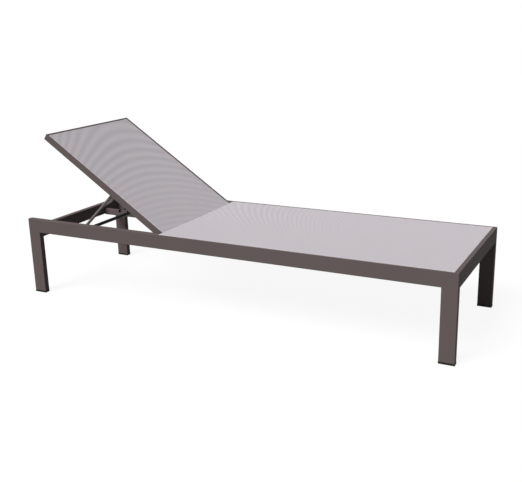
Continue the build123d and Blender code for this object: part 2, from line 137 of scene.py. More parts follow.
class CoatSettings(PropertyGroup):
    """The powder coat on the tubes, and the coats and metals of the fittings."""

    colour: FloatVectorProperty(
        name="Colour", description="Colour of the powder coat",
        default=linear(103, 93, 92), subtype="COLOR", min=0, max=1)
    prop_colour: FloatVectorProperty(
        name="Prop colour", description="Colour of the prop's coat",
        default=linear(122, 117, 115), subtype="COLOR", min=0, max=1)
    plastic_colour: FloatVectorProperty(
        name="Plastic colour", description="Colour of the black plastic fittings",
        default=linear(22, 21, 22), subtype="COLOR", min=0, max=1)
    peel_size: FloatProperty(
        name="Peel size", description="Size of the coat's fine ripples",
        default=1.8 * mm, unit="LENGTH")
    weld_leg: FloatProperty(
        name="Weld leg", description="How far a weld bead reaches along each face",
        default=2.2 * mm, unit="LENGTH")
    weld_ripple: FloatProperty(
        name="Weld ripple", description="Distance from one ripple of a weld to the next",
        default=2.6 * mm, unit="LENGTH")


class FittingSettings(PropertyGroup):
    """Moulded and pressed fittings."""

    glide_lip: FloatProperty(
        name="Glide lip", description="How far a foot glide stands out past the leg",
        default=0.8 * mm, unit="LENGTH")
    glide_collar: FloatProperty(
        name="Glide collar", description="How far a glide's lip goes up round the leg",
        default=3.5 * mm, unit="LENGTH")
    glide_recess: FloatProperty(
        name="Glide recess", description="Depth of the hollow under a glide",
        default=1 * mm, unit="LENGTH")
    clip_prongs: IntProperty(
        name="Clip prongs", description="Inner prongs of a retaining clip",
        default=3, min=2, max=5)


class StageSettings(PropertyGroup):
    """Camera, lamp, sky and floor."""

    camera_place: FloatVectorProperty(
        name="Camera place", description="Where the camera stands",
        default=(1.5535, -2.8781, 1.2213), subtype="TRANSLATION", unit="LENGTH")
    camera_turn: FloatVectorProperty(
        name="Camera turn", description="The camera's turn about X, Y and Z",
        default=(radians(73.678), radians(1.339), radians(27.304)), subtype="EULER")
    camera_lens: FloatProperty(
        name="Lens", description="Focal length in millimetres, on a sensor 36 wide",
        default=53.938, unit="CAMERA")
    sun_way: FloatVectorProperty(
        name="Sun way", description="Direction towards the sun",
        default=(-0.25, -0.64, 0.78), subtype="DIRECTION")
    sun_strength: FloatProperty(
        name="Sun strength", description="Strength of the sun", default=3.27)
    sun_width: FloatProperty(
        name="Sun width", description="Angle that the sun spans, which softens shadows",
        default=radians(32), subtype="ANGLE")
    sky_light: FloatProperty(
        name="Sky light", description="Brightness of the sky on the object", default=0.22)
    floor_width: FloatProperty(
        name="Floor width", description="Width of the floor", default=24, unit="LENGTH")


# Shader nodes


class Socket:
    """An output socket of a material. Sums and products of it add Math nodes."""

    def __init__(self, finish, socket):
        self.finish = finish
        self.socket = socket

    def maths(self, operation, *terms):
        """Add a Math node that works on the terms."""
        sockets = dict(enumerate(terms))
        return self.finish.node("ShaderNodeMath", {"operation": operation}, sockets)

    def __add__(self, other):
        return self.maths("ADD", self, other)

    def __radd__(self, other):
        return self.maths("ADD", other, self)

    def __sub__(self, other):
        return self.maths("SUBTRACT", self, other)

    def __rsub__(self, other):
        return self.maths("SUBTRACT", other, self)

    def __mul__(self, other):
        return self.maths("MULTIPLY", self, other)

    def __rmul__(self, other):
        return self.maths("MULTIPLY", other, self)

    def __truediv__(self, other):
        return self.maths("DIVIDE", self, other)

    def cosine(self):
        """The cosine of the value, in radians."""
        return self.maths("COSINE", self)

    def larger(self, other):
        """The larger of two values."""
        return self.maths("MAXIMUM", self, other)

    def smaller(self, other):
        """The smaller of two values."""
        return self.maths("MINIMUM", self, other)


class NodeTree:
    """The nodes of a material or a world, which are added one at a time."""

    def __init__(self, owner):
        owner.use_nodes = True
        self.nodes = owner.node_tree.nodes
        self.links = owner.node_tree.links

    def feed(self, socket, value):
        """Link a socket to another, or set its value."""
        if isinstance(value, Socket):
            self.links.new(value.socket, socket)
        elif np.ndim(value) == 1 and len(value) == 3 and socket.type == "RGBA":
            socket.default_value = (*value, 1)
        else:
            socket.default_value = value

    def node(self, kind, settings=None, sockets=None, output=0):
        """Add a node: its kind, then its settings, then its sockets' values or links."""
        made = self.nodes.new(kind)
        for name, value in (settings or {}).items():
            setattr(made, name, value)
        for name, value in (sockets or {}).items():
            self.feed(made.inputs[name], value)
        return Socket(self, made.outputs[output])


class Finish(NodeTree):
    """A material with one shader."""

    def __init__(self, name, constants=None):
        self.material = bpy.data.materials.new(name)
        super().__init__(self.material)
        self.shader = self.nodes["Principled BSDF"]
        self.feed_shader(constants or {})

    def noise(self, size, detail=2.0):
        """Smooth noise from 0 to 1 over the piece, with features of a size in metres."""
        place = self.node("ShaderNodeTexCoord", output="Object")
        sockets = {"Vector": place, "Scale": 1 / size, "Detail": detail}
        return self.node("ShaderNodeTexNoise", sockets=sockets)

    def tint(self, colour, strength):
        """A colour times a strength that varies."""
        return self.node("ShaderNodeVectorMath", {"operation": "SCALE"},
                         {0: tuple(colour), "Scale": strength})

    def relief(self, height, depth, strength=1.0):
        """A bump whose full height is a depth in metres."""
        sockets = {"Height": height, "Distance": depth, "Strength": strength}
        return self.node("ShaderNodeBump", sockets=sockets)

    def feed_shader(self, sockets):
        """Feed sockets of the shader, by name, and return the material."""
        for name, value in sockets.items():
            self.feed(self.shader.inputs[name], value)
        return self.material


def material(maker):
    """The material that a function makes, made only once."""
    return bpy.data.materials.get(maker.__name__) or maker(maker.__name__)


def powder_coat(name, colour=None):
    """Satin powder coat: fine orange peel, and a faint change of shade."""
    coat = bpy.context.scene.lounger_coat
    finish = Finish(name, {"Specular IOR Level": 0.004})
    peel = finish.noise(coat.peel_size)
    speck = finish.noise(size=0.5 * mm)
    cloud = finish.noise(size=140 * mm)
    shade = 0.93 + 0.08 * cloud + 0.06 * speck
    return finish.feed_shader({
        "Base Color": finish.tint(colour or coat.colour, shade),
        "Roughness": 0.4 + 0.14 * peel,
        "Normal": finish.relief(peel, depth=0.05 * mm, strength=0.5),
    })


def prop_coat(name):
    """Thin grey coat on the bent rod."""
    return powder_coat(name, bpy.context.scene.lounger_coat.prop_colour)


def moulded_plastic(name):
    """Black moulded plastic with a fine spark texture."""
    finish = Finish(name, {"Specular IOR Level": 0.15})
    spark = finish.noise(size=0.7 * mm)
    cloud = finish.noise(size=30 * mm)
    shade = 0.85 + 0.2 * cloud + 0.1 * spark
    return finish.feed_shader({
        "Base Color": finish.tint(bpy.context.scene.lounger_coat.plastic_colour, shade),
        "Roughness": 0.5 + 0.2 * spark,
        "Normal": finish.relief(spark, depth=0.05 * mm, strength=0.4),
    })


def buffer_rubber(name):
    """Dull black rubber."""
    finish = Finish(name, {"Specular IOR Level": 0.2})
    grain = finish.noise(size=1.1 * mm, detail=4)
    return finish.feed_shader({
        "Base Color": finish.tint(linear(34, 33, 33), 0.8 + 0.4 * grain),
        "Roughness": 0.75 + 0.15 * grain,
        "Normal": finish.relief(grain, depth=0.08 * mm, strength=0.5),
    })


def zinc_plate(name):
    """Zinc plated steel, with the soft marks that plating leaves."""
    finish = Finish(name, {"Metallic": 1})
    marks = finish.noise(size=3 * mm, detail=4)
    fine = finish.noise(size=0.4 * mm)
    return finish.feed_shader({
        "Base Color": finish.tint(linear(186, 187, 190), 0.85 + 0.25 * marks),
        "Roughness": 0.28 + 0.2 * marks + 0.08 * fine,
        "Normal": finish.relief(fine, depth=0.02 * mm, strength=0.3),
    })


def keder_rod(name):
    """Extruded plastic rod, with a fine uneven surface."""
    finish = Finish(name, {"Specular IOR Level": 0.35})
    drawn = finish.noise(size=0.6 * mm)
    return finish.feed_shader({
        "Base Color": finish.tint(linear(196, 192, 194), 0.92 + 0.12 * drawn),
        "Roughness": 0.42 + 0.16 * drawn,
        "Normal": finish.relief(drawn, depth=0.03 * mm, strength=0.4),
    })


def weave(finish):
    """Over and under weave of a cloth map in metres: height, and how deep in a gap, which woven
    paints as shade.

    A yarn stands at each whole number of pitches, with a cosine as its section. The product
    of two half speed cosines has one sign where the warp is over, the other where it is under.
    """
    sling = bpy.context.scene.lounger_sling
    cloth = finish.node("ShaderNodeUVMap", {"uv_map": "cloth"})
    sideways = finish.node("ShaderNodeSeparateXYZ", sockets={0: cloth})
    lengthways = Socket(finish, sideways.socket.node.outputs["Y"])
    turn = 2 * pi / sling.yarn_pitch
    warp = 0.5 + 0.5 * (sideways * turn).cosine()
    weft = 0.5 + 0.5 * (lengthways * turn).cosine()
    over = (sideways * (turn / 2)).cosine() * (lengthways * (turn / 2)).cosine()
    height = (warp * (0.5 + 0.5 * over)).larger(weft * (0.5 - 0.5 * over))
    # How deep a point lies in a gap between yarns, used as painted shade in the colour
    painted_gap_shade = (1 - warp) * (1 - weft)
    return sideways, lengthways, height, painted_gap_shade


def woven_seat(name):
    """Coated yarn weave of the seat, with faint slanting lines near the backrest on one side.

    The lines are a cosine of a curved surface: a slope along the seat and one across it, a
    square of each distance, and their product, in metres. They fade towards the foot and the
    other side.
    """
    strength = 0.055
    slope, side_slope, twist = 245, 203, 101
    bow, side_bow = 157, 276
    start = 1.39
    back_share, back_fade = 1.05, 1.4
    middle_share, side_fade = 0.7, 6

    def bands(sideways, lengthways):
        bowed = bow * lengthways * lengthways - side_bow * sideways * sideways
        phase = (slope * lengthways + (side_slope - twist * lengthways) * sideways
                 + bowed - start)
        near_back = (back_share - back_fade * lengthways).larger(0).smaller(1)
        one_side = (side_fade * sideways + middle_share).larger(0).smaller(1)
        return 1 + strength * near_back * one_side * phase.cosine()
    return woven(name, bands)


def woven_back(name):
    """Coated yarn weave of the back, with the soft arcs that its two yarns make.

    The arcs are a cosine of a curved surface: mostly the distance down from the top edge, plus
    a square of the distance to the side, which bows them, and the product of both, which turns
    them steep towards one upper corner. They fade towards the hinge. The colour is also painted a
    little paler towards the hinge: painted bounce light, standing in for light off the seat.
    """
    half_width, half_length = 280 * mm, 350 * mm
    strength = 0.075
    slope, squash = 44, 5.8
    lean, twist = 3, 16.2
    bow, more_bow = 8.8, 3.8
    start = 1.26
    top_share, fade, least_share = 1.7, 2.2, 0.5
    # Painted bounce light: how much paler the back is painted towards the hinge
    painted_seat_bounce = 0.025

    def bands(sideways, lengthways):
        side = sideways / half_width
        place = lengthways / half_length + 1
        bowed = bow + more_bow * place
        phase = (side * (lean + bowed * side - twist * place)
                 + place * (slope - squash * place) - start)
        upper = (lengthways * fade + top_share).smaller(1).larger(least_share)
        # The last term paints the back paler towards the hinge and darker towards the top: painted
        # bounce light from the seat
        return 1 + strength * upper * phase.cosine() - painted_seat_bounce * (lengthways + half_length)
    return woven(name, bands)


def woven(name, bands):
    """Coated yarn weave, with painted shade low on the yarns and in the gaps between them. Bands
    is a function of the cloth map that changes its shade a little.
    """
    sling = bpy.context.scene.lounger_sling
    finish = Finish(name, {"Specular IOR Level": 0.3, "Sheen Weight": 0.08})
    sideways, lengthways, height, painted_gap_shade = weave(finish)
    # Painted shade: the colour is lighter on the yarn crowns and darker low on the yarns and in
    # the gaps, where shade falls between them
    shade = (0.9 + 0.16 * height) * (1 - 0.3 * painted_gap_shade) * bands(sideways, lengthways)
    return finish.feed_shader({
        "Base Color": finish.tint(sling.colour, shade),
        "Roughness": 0.62 - 0.12 * height,
        "Normal": finish.relief(height, sling.yarn_relief, strength=0.5),
    })


def thread(name):
    """Twisted sewing thread."""
    finish = Finish(name, {"Specular IOR Level": 0.3, "Sheen Weight": 0.2})
    twist = finish.noise(size=0.25 * mm)
    colour = bpy.context.scene.lounger_sling.thread_colour
    return finish.feed_shader({
        "Base Color": finish.tint(colour, 0.85 + 0.25 * twist),
        "Roughness": 0.6 + 0.2 * twist,
        "Normal": finish.relief(twist, depth=0.05 * mm, strength=0.6),
    })


# Surfaces


def grid_faces(rows, columns, wrap_rows=False, wrap_columns=False):
    """Quads between the neighbouring points of a grid, which may close on itself."""
    row = np.arange(rows if wrap_rows else rows - 1)[:, None]
    column = np.arange(columns if wrap_columns else columns - 1)[None, :]
    next_row = (row + 1) % rows
    next_column = (column + 1) % columns
    corners = (row * columns + column, row * columns + next_column,
               next_row * columns + next_column, next_row * columns + column)
    return np.stack(corners, -1).reshape(-1, 4)


def tube(rings):
    """Closed tube through rings of points, of shape (rings, points, 3), with a cap at each end."""
    rows, columns = rings.shape[:2]
    sides = grid_faces(rows, columns, wrap_columns=True).tolist()
    first = np.arange(columns)
    last = first + (rows - 1) * columns
    return rings.reshape(-1, 3), sides + [first[::-1].tolist(), last.tolist()]


def joined(shapes):
    """One list of points and one of faces from several shapes."""
    points, faces, start = [], [], 0
    for some_points, some_faces in shapes:
        points.append(some_points)
        faces += [[corner + start for corner in face] for face in some_faces]
        start += len(some_points)
    return np.concatenate(points), faces


def shell(middle, thickness):
    """Closed shell round a sheet's middle, a grid of points.

    Each point goes half the thickness both ways along the normal, which is the cross product
    of the grid's two directions. The two layers are joined along the rim.
    """
    rows, columns = middle.shape[:2]
    normal = np.cross(np.gradient(middle, axis=0), np.gradient(middle, axis=1))
    normal /= np.linalg.norm(normal, axis=2, keepdims=True)
    layers = [middle + normal * thickness / 2, middle - normal * thickness / 2]
    index = np.arange(rows * columns).reshape(rows, columns)
    rim = np.concatenate([index[0, :-1], index[:-1, -1], index[-1, :0:-1], index[:0:-1, 0]])
    quads = grid_faces(rows, columns)
    far = rows * columns
    edge = np.stack([rim, np.roll(rim, -1), np.roll(rim, -1) + far, rim + far], -1)
    points = np.concatenate([layer.reshape(-1, 3) for layer in layers])
    return points, np.concatenate([quads, quads[:, ::-1] + far, edge]).tolist()


def add_piece(name, shape, body, maker, replaces=(), cloth_map=None):
    """Make a closed mesh that faces outwards, with its finish, and let it ride on a body."""
    points, faces = shape
    mesh = bpy.data.meshes.new(name)
    mesh.from_pydata(points.tolist(), [], faces)
    work = bmesh.new()
    work.from_mesh(mesh)
    bmesh.ops.recalc_face_normals(work, faces=work.faces)
    work.to_mesh(mesh)
    work.free()
    mesh.shade_smooth()
    mesh.set_sharp_from_angle(angle=radians(40))
    if cloth_map is not None:
        corners = np.empty(len(mesh.loops), np.int32)
        mesh.loops.foreach_get("vertex_index", corners)
        layer = mesh.uv_layers.new(name="cloth")
        layer.data.foreach_set("uv", cloth_map[corners].astype(np.float32).ravel())
    mesh.materials.append(material(maker))
    piece = bpy.data.objects.new(name, mesh)
    bpy.context.scene.collection.objects.link(piece)
    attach(piece, body)
    if replaces:
        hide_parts(*replaces)
    return piece


def on_back(up, side, out):
    """Points of the backrest from their distances up it, across it and out of it."""
    up, side, out = np.broadcast_arrays(up, side, out)
    return hinge + up[..., None] * back_up + side[..., None] * across + out[..., None] * back_out


def rounded_path(corners, radii, arc_step):
    """Line through corners that are rounded, as points: straight runs and tangent arcs.

    Each arc starts and ends at the radius times the tangent of half the turn from its corner.
    """
    corners = np.array(corners, float)
    points = [corners[0]]
    for before, corner, after, radius in zip(corners, corners[1:], corners[2:], radii):
        way_in = (corner - before) / np.linalg.norm(corner - before)
        way_out = (after - corner) / np.linalg.norm(after - corner)
        turn = np.arctan2(way_in[0] * way_out[1] - way_in[1] * way_out[0], way_in @ way_out)
        start = corner - way_in * radius * np.tan(abs(turn) / 2)
        inward = np.sign(turn) * np.array((-way_in[1], way_in[0]))
        centre = start + inward * radius
        steps = max(2, int(np.ceil(radius * abs(turn) / arc_step)))
        angle = np.linspace(0, turn, steps + 1)
        spoke = start - centre
        turned = np.stack([spoke[0] * np.cos(angle) - spoke[1] * np.sin(angle),
                           spoke[0] * np.sin(angle) + spoke[1] * np.cos(angle)], -1)
        points.extend(centre + turned)
    points.append(corners[-1])
    return np.array(points)


def divided(points, step):
    """The same line, with points added so that none are further apart than a step."""
    runs = []
    for start, end in zip(points, points[1:]):
        count = max(1, int(np.ceil(np.linalg.norm(end - start) / step)))
        share = np.linspace(0, 1, count, endpoint=False)[:, None]
        runs.append(start + share * (end - start))
    return np.concatenate([*runs, points[-1:]])


def eased(value):
    """Smooth step from 0 to 1, three squares less two cubes."""
    value = np.clip(value, 0, 1)
    return value * value * (3 - 2 * value)


def cross_section(flat, bend, straight, cells, edge_cells):
    """Half section of a sling from its middle to its edge, as (side, drop, length) columns.

    The sheet runs flat, turns down through a quarter circle of the bend's radius, and ends in
    a straight fin. Flat holds the half width of each row, and bend how far its turn is made,
    from 0 to 1: each row has its own section, with the same length of cloth in its edge.
    """
    least_bend = 1e-3
    radius = bpy.context.scene.lounger_sling.edge_bend
    reach = radius * pi / 2 + straight
    inner = np.linspace(0, 1, cells, endpoint=False)[None, :] * flat[:, None]
    along = np.linspace(0, reach, edge_cells)[None, :]
    curve = np.maximum(bend, least_bend)[:, None] / radius
    turned = np.minimum(along * curve, pi / 2)
    rest = along - turned / curve
    side = flat[:, None] + np.sin(turned) / curve + rest * np.cos(turned)
    drop = (1 - np.cos(turned)) / curve + rest * np.sin(turned)
    sides = np.concatenate([inner, side], 1)
    drops = np.concatenate([np.zeros_like(inner), drop], 1)
    lengths = np.concatenate([inner, flat[:, None] + along], 1)
    return sides, drops, lengths


def both_sides(section):
    """A whole section from a half one: side and length change sign, and the drop doesn't."""
    sides, drops, lengths = section
    mirror = slice(None, 0, -1)
    return (np.concatenate([-sides[:, mirror], sides], 1),
            np.concatenate([drops[:, mirror], drops], 1),
            np.concatenate([-lengths[:, mirror], lengths], 1))


# The seat sling


def seat_droop(place, side):
    """How far the seat hangs: a flat topped curve across it, eased away towards the foot rail."""
    clear_of_rail = 4 * mm
    easing = 160 * mm
    low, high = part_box("foot_rail")
    share = np.clip(np.abs(side) / high.y, 0, 1)
    free = eased((low.x - clear_of_rail - place) / easing)
    return bpy.context.scene.lounger_sling.seat_sag * (1 - share ** 2) ** 2 * free


def seat_edge():
    """Half width of the seat's flat part, where its edge starts to turn down."""
    sling = bpy.context.scene.lounger_sling
    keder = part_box("left_seat_keder")
    return (keder[0].y + keder[1].y) / 2 - sling.edge_bend


def seat_height():
    """Height of the middle of the seat's sheet, where the rails carry it."""
    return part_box("seat_sling")[1].z - bpy.context.scene.lounger_sling.thickness / 2


class MakeSeatSling(Operator):
    """Stretch the seat sling between the side rails"""

    bl_idname = "lounger.seat_sling"
    bl_label = "Seat Sling"

    def execute(self, context):
        sling = context.scene.lounger_sling
        low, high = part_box("seat_sling")
        rows = np.linspace(low.x, high.x, num=110)
        flat = np.full(len(rows), seat_edge())
        bend = np.ones(len(rows))
        section = cross_section(flat, bend, sling.edge_fin, cells=44, edge_cells=9)
        sides, drops, lengths = both_sides(section)
        place = np.broadcast_to(rows[:, None], sides.shape)
        middle = np.stack([place, sides, seat_height() - drops - seat_droop(place, sides)], -1)
        cloth = np.tile(np.stack([lengths, place], -1).reshape(-1, 2), (2, 1))
        sheet = add_piece("seat_sheet", shell(middle, sling.thickness), "frame",
                          woven_seat, ["seat_sling"], cloth)
        hems = self.add_hems(sling, low, high)
        return {"FINISHED"}

    def add_hems(self, sling, low, high):
        """Layers folded under both ends, which lie against the sheet."""
        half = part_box("foot_rail")[1].y - side_play
        side = np.linspace(-half, half, num=80)
        share = np.linspace(0, 1, num=12)
        top = seat_height() - sling.thickness / 2
        shapes = []
        maps = []
        for end, inward in ((low.x, 1), (high.x, -1)):
            place = end + inward * sling.hem_length * share
            place, across_place = np.meshgrid(place, side, indexing="ij")
            height = top - sling.hem_thickness / 2 - seat_droop(place, across_place)
            middle = np.stack([place, across_place, height], -1)
            shapes.append(shell(middle, sling.hem_thickness))
            maps.append(np.tile(np.stack([across_place, place], -1).reshape(-1, 2), (2, 1)))
        return add_piece("seat_hems", joined(shapes), "frame", woven_seat,
                         cloth_map=np.concatenate(maps))


# The back sling


def back_droop(up, side):
    """How far the back hangs: nothing at its tubes and most in its middle."""
    end_margin = 20 * mm
    sling = bpy.context.scene.lounger_sling
    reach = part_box("back_lower_tube")[1].y
    middle = back_sizes()["top"] / 2
    sideways = np.clip(np.abs(side) / reach, 0, 1)
    lengthways = np.clip(np.abs(up - middle) / (middle - end_margin), 0, 1)
    return sling.back_sag * (1 - sideways ** 2) ** 2 * (1 - lengthways ** 2) ** 2


def back_sizes():
    """Sizes of the back sling, read from the frame's boxes."""
    sling = bpy.context.scene.lounger_sling
    tube_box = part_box("back_lower_tube")
    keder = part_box("left_back_keder")
    sheet = np.array([vertex.co for vertex in frame["nodes"]["back_sling"].data.vertices])
    up = (sheet - hinge) @ back_up
    return {
        "tube": (tube_box[1].z - tube_box[0].z) / 2,
        "lower_half": tube_box[1].y - side_play,
        "keder": (keder[0].y + keder[1].y) / 2,
        "top": up.max(),
        "pocket": sling.hem_length * 2,
    }


def back_path():
    """The back sling's line from the side, as (up, out): its tail, its pocket and its face.

    The tail lies under the face, leaves it at the end of the pocket, goes tangent round the
    lower tube and comes up as the face.
    """
    layer_gap = 0.1 * mm
    tail_length = 16 * mm
    tail_bend = 10 * mm
    arc_step = 1.6 * mm
    sling = bpy.context.scene.lounger_sling
    sizes = back_sizes()
    radius = sizes["tube"] + sling.thickness / 2
    face = radius
    under = face - sling.thickness - layer_gap
    leave = np.array((sizes["pocket"], under))
    far = np.linalg.norm(leave)
    touch = np.arctan2(leave[1], leave[0]) - np.arccos(radius / far)
    tail_way = np.array((cos(touch), sin(touch))) * radius - leave
    low_corner = leave + tail_way * (leave[0] + radius) / -tail_way[0]
    corners = [(sizes["pocket"] + tail_length, under), leave, low_corner, (-radius, face),
               (sizes["top"], face)]
    return rounded_path(corners, (tail_bend, radius, radius), arc_step)


class MakeBackSling(Operator):
    """Stretch the back sling in the backrest, with its pocket round the lower tube"""

    bl_idname = "lounger.back_sling"
    bl_label = "Back Sling"

    def execute(self, context):
        sling = context.scene.lounger_sling
        sizes = back_sizes()
        path = divided(back_path(), step=7 * mm)
        length = np.concatenate([[0], np.cumsum(np.linalg.norm(np.diff(path, axis=0), axis=1))])
        low_end = length[np.argmin(path[:, 0])]
        on_face = length > low_end
        slot_start = 15.5 * mm
        cut = 6 * mm
        widened = eased((length - low_end + cut) / cut)
        bent = eased((path[:, 0] - slot_start) / cut) * on_face
        reach = sling.edge_bend * pi / 2 + sling.edge_fin
        narrow = sizes["lower_half"] - reach
        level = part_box("back_sling")[1].y - reach
        wide = sizes["keder"] - sling.edge_bend
        flat = narrow + (level - narrow) * widened + (wide - level) * bent
        section = cross_section(flat, bent, sling.edge_fin, cells=40, edge_cells=9)
        sides, drops, lengths = both_sides(section)
        up = np.broadcast_to(path[:, :1], sides.shape)
        droop = back_droop(up, sides) * on_face[:, None]
        out = path[:, 1:] - drops - droop
        middle = on_back(up, sides, out)
        along = np.broadcast_to((length - length[-1])[:, None], sides.shape)
        cloth = np.tile(np.stack([lengths, along], -1).reshape(-1, 2), (2, 1))
        sheet = add_piece("back_sheet", shell(middle, sling.thickness), "back",
                          woven_back, ["back_sling"], cloth)
        2 * (wide + reach)
        return {"FINISHED"}


# Sewing


def stitch_row(centres, along, out, length, width, height):
    """A row of stitches: small spindles whose outline is an ellipse.

    Each is a tube through a few rings along its length, closed by a small cap at each end.
    """
    least_share = 0.04
    station = np.linspace(-1, 1, num=6)
    swell = np.sqrt(np.clip(1 - station ** 2, least_share, 1))
    angle = np.linspace(0, 2 * pi, num=6, endpoint=False)
    third = np.cross(along, out)
    ring = (np.cos(angle)[None, :, None] * third * width / 2
            + np.sin(angle)[None, :, None] * out * height / 2)
    spindle = station[:, None, None] * along * length / 2 + swell[:, None, None] * ring
    _, faces = tube(spindle)
    points = centres[:, None, :] + spindle.reshape(1, -1, 3)
    count = spindle.shape[0] * spindle.shape[1]
    every = [[corner + count * number for corner in face]
             for number in range(len(centres)) for face in faces]
    return points.reshape(-1, 3), every


class SewHems(Operator):
    """Sew the hems and the pocket with rows of stitches"""

    bl_idname = "lounger.stitching"
    bl_label = "Stitching"

    def execute(self, context):
        sling = context.scene.lounger_sling
        seam_inset = 4 * mm
        stitch_length = 0.72 * sling.stitch_pitch
        stitch_width = 0.8 * mm
        stitch_height = 0.5 * mm
        size = (stitch_length, stitch_width, stitch_height)
        up_z = np.array((0, 0, 1.0))
        low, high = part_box("seat_sling")
        seat_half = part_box("foot_rail")[1].y - seam_inset
        side = np.arange(-seat_half, seat_half, sling.stitch_pitch)
        seat_rows = []
        inset = sling.hem_length - seam_inset
        layers = sling.thickness / 2 + np.array((0, sling.hem_thickness + sling.thickness))
        for place in (low.x + inset, high.x - inset):
            for layer, way in zip(layers, (1, -1)):
                height = seat_height() - seat_droop(place, side) + way * layer
                centres = np.stack([np.full_like(side, place), side, height], -1)
                seat_rows.append(stitch_row(centres, across, up_z, *size))
        add_piece("seat_stitching", joined(seat_rows), "frame", thread)

        sizes = back_sizes()
        face = sizes["tube"] + sling.thickness / 2
        back_half = sizes["lower_half"] - seam_inset
        side = np.arange(-back_half, back_half, sling.stitch_pitch)
        first_seam = sizes["pocket"] + 5 * mm
        second_seam = sizes["pocket"] + 11 * mm
        top_seam = sizes["top"] - sling.hem_length + seam_inset
        double_depth = 2.7 * mm
        single_depth = 1.2 * mm
        back_rows = []
        for up, depth in ((first_seam, double_depth), (second_seam, double_depth),
                          (top_seam, single_depth)):
            for way, layer in ((1, sling.thickness / 2), (-1, depth - sling.thickness / 2)):
                out = face - back_droop(up, side) + way * layer
                centres = on_back(up, side, out)
                back_rows.append(stitch_row(centres, across, back_out, *size))
        add_piece("back_stitching", joined(back_rows), "back", thread)
        return {"FINISHED"}


# Welds


def weld_bead(start, end, first_face, second_face):
    """A fillet weld from start to end in the corner of two faces, with rippled metal.

    Its section is the corner, a little sunk, and a bulging curve from one face to the other:
    mostly a quarter circle and partly a straight line. The reach along the faces swells and
    shrinks as a cosine of the distance, and tapers at both ends.
    """
    sunk = 0.3 * mm
    ripple_height = 0.12
    rings_per_ripple = 4
    least_taper = 0.05
    circle, line = 0.86, 0.14
    coat = bpy.context.scene.lounger_coat
    start, end = np.array(start), np.array(end)
    length = np.linalg.norm(end - start)
    count = int(length / coat.weld_ripple * rings_per_ripple) + 2
    station = np.linspace(0, length, count)
    ripple = 1 + ripple_height * np.cos(2 * pi * station / coat.weld_ripple)
    from_end = np.minimum(station, length - station)
    taper = np.sqrt(np.clip(from_end / coat.weld_leg, least_taper, 1))
    reach = (coat.weld_leg * ripple * taper)[:, None]
    angle = np.linspace(0, pi / 2, num=5)[None, :]
    first = reach * (circle * np.cos(angle) + line * (1 - angle * 2 / pi))
    second = reach * (circle * np.sin(angle) + line * (angle * 2 / pi))
    first = np.concatenate([np.full_like(reach, -sunk), first], 1)
    second = np.concatenate([np.full_like(reach, -sunk), second], 1)
    root = start + (end - start) * (station / length)[:, None]
    rings = (root[:, None, :] + first[..., None] * np.array(first_face)
             + second[..., None] * np.array(second_face))
    return tube(rings)


class AddWelds(Operator):
    """Lay weld beads where the tubes meet"""

    bl_idname = "lounger.welds"
    bl_label = "Weld Beads"

    def execute(self, context):
        clear = 1.5 * mm
        clear_of_rebate = 5 * mm
        beads = []
        for name in ("foot_rail", "head_rail", "rack_rail", "seat_stretcher"):
            low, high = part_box(name)
            for side in (1, -1):
                wall = (0, -side, 0)
                y = side * high.y
                top = high.z - (clear_of_rebate if name == "foot_rail" else clear)
                for x, way, bare in ((low.x, -1, "head_rail"), (high.x, 1, "foot_rail")):
                    if name != bare:
                        beads.append(weld_bead((x, y, low.z + clear), (x, y, top),
                                               wall, (way, 0, 0)))
                for z, way, bare in ((low.z, -1, "rack_rail"), (high.z, 1, "foot_rail")):
                    if name != bare:
                        beads.append(weld_bead((low.x + clear, y, z), (high.x - clear, y, z),
                                               wall, (0, 0, way)))
        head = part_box("head_rail")
        for name in ("left_rack", "right_rack"):
            low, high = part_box(name)
            for y, way in ((low.y, -1), (high.y, 1)):
                beads.append(weld_bead((low.x, y, head[0].z + clear), (low.x, y, high.z - clear),
                                       (1, 0, 0), (0, way, 0)))
            beads.append(weld_bead((low.x, low.y + clear, high.z), (low.x, high.y - clear, high.z),
                                   (1, 0, 0), (0, 0, 1)))
        add_piece("frame_welds", joined(beads), "frame", powder_coat)

        node = frame["nodes"]["back_cross_tube"]
        points = np.array([vertex.co for vertex in node.data.vertices]) - hinge
        ups, outs = points @ back_up, points @ back_out
        up_ends = np.array((ups.min() + clear, ups.max() - clear))
        out_ends = np.array((outs.min() + clear, outs.max() - clear))
        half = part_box("back_cross_tube")[1].y
        corners = []
        for side in (1, -1):
            wall = -side * across
            for up, way in ((ups.min(), -1), (ups.max(), 1)):
                ends = on_back(up, side * half, out_ends)
                corners.append(weld_bead(*ends, wall, way * back_up))
            for out, way in ((outs.min(), -1), (outs.max(), 1)):
                ends = on_back(up_ends, side * half, out)
                corners.append(weld_bead(*ends, wall, way * back_out))
        add_piece("back_welds", joined(corners), "back", powder_coat)
        return {"FINISHED"}


# Fittings


def rounded_rectangle(width, depth, radius, steps=6):
    """Outline of a rectangle with a quarter circle at each corner, as points."""
    angle = np.linspace(0, pi / 2, steps)
    arc = np.stack([np.cos(angle), np.sin(angle)], -1) * radius
    corners = []
    for number, (x, y) in enumerate(((1, 1), (-1, 1), (-1, -1), (1, -1))):
        turn = number * pi / 2
        turned = np.stack([arc[:, 0] * cos(turn) - arc[:, 1] * sin(turn),
                           arc[:, 0] * sin(turn) + arc[:, 1] * cos(turn)], -1)
        middle = np.array((x * (width / 2 - radius), y * (depth / 2 - radius)))
        corners.append(middle + turned)
    return np.concatenate(corners)


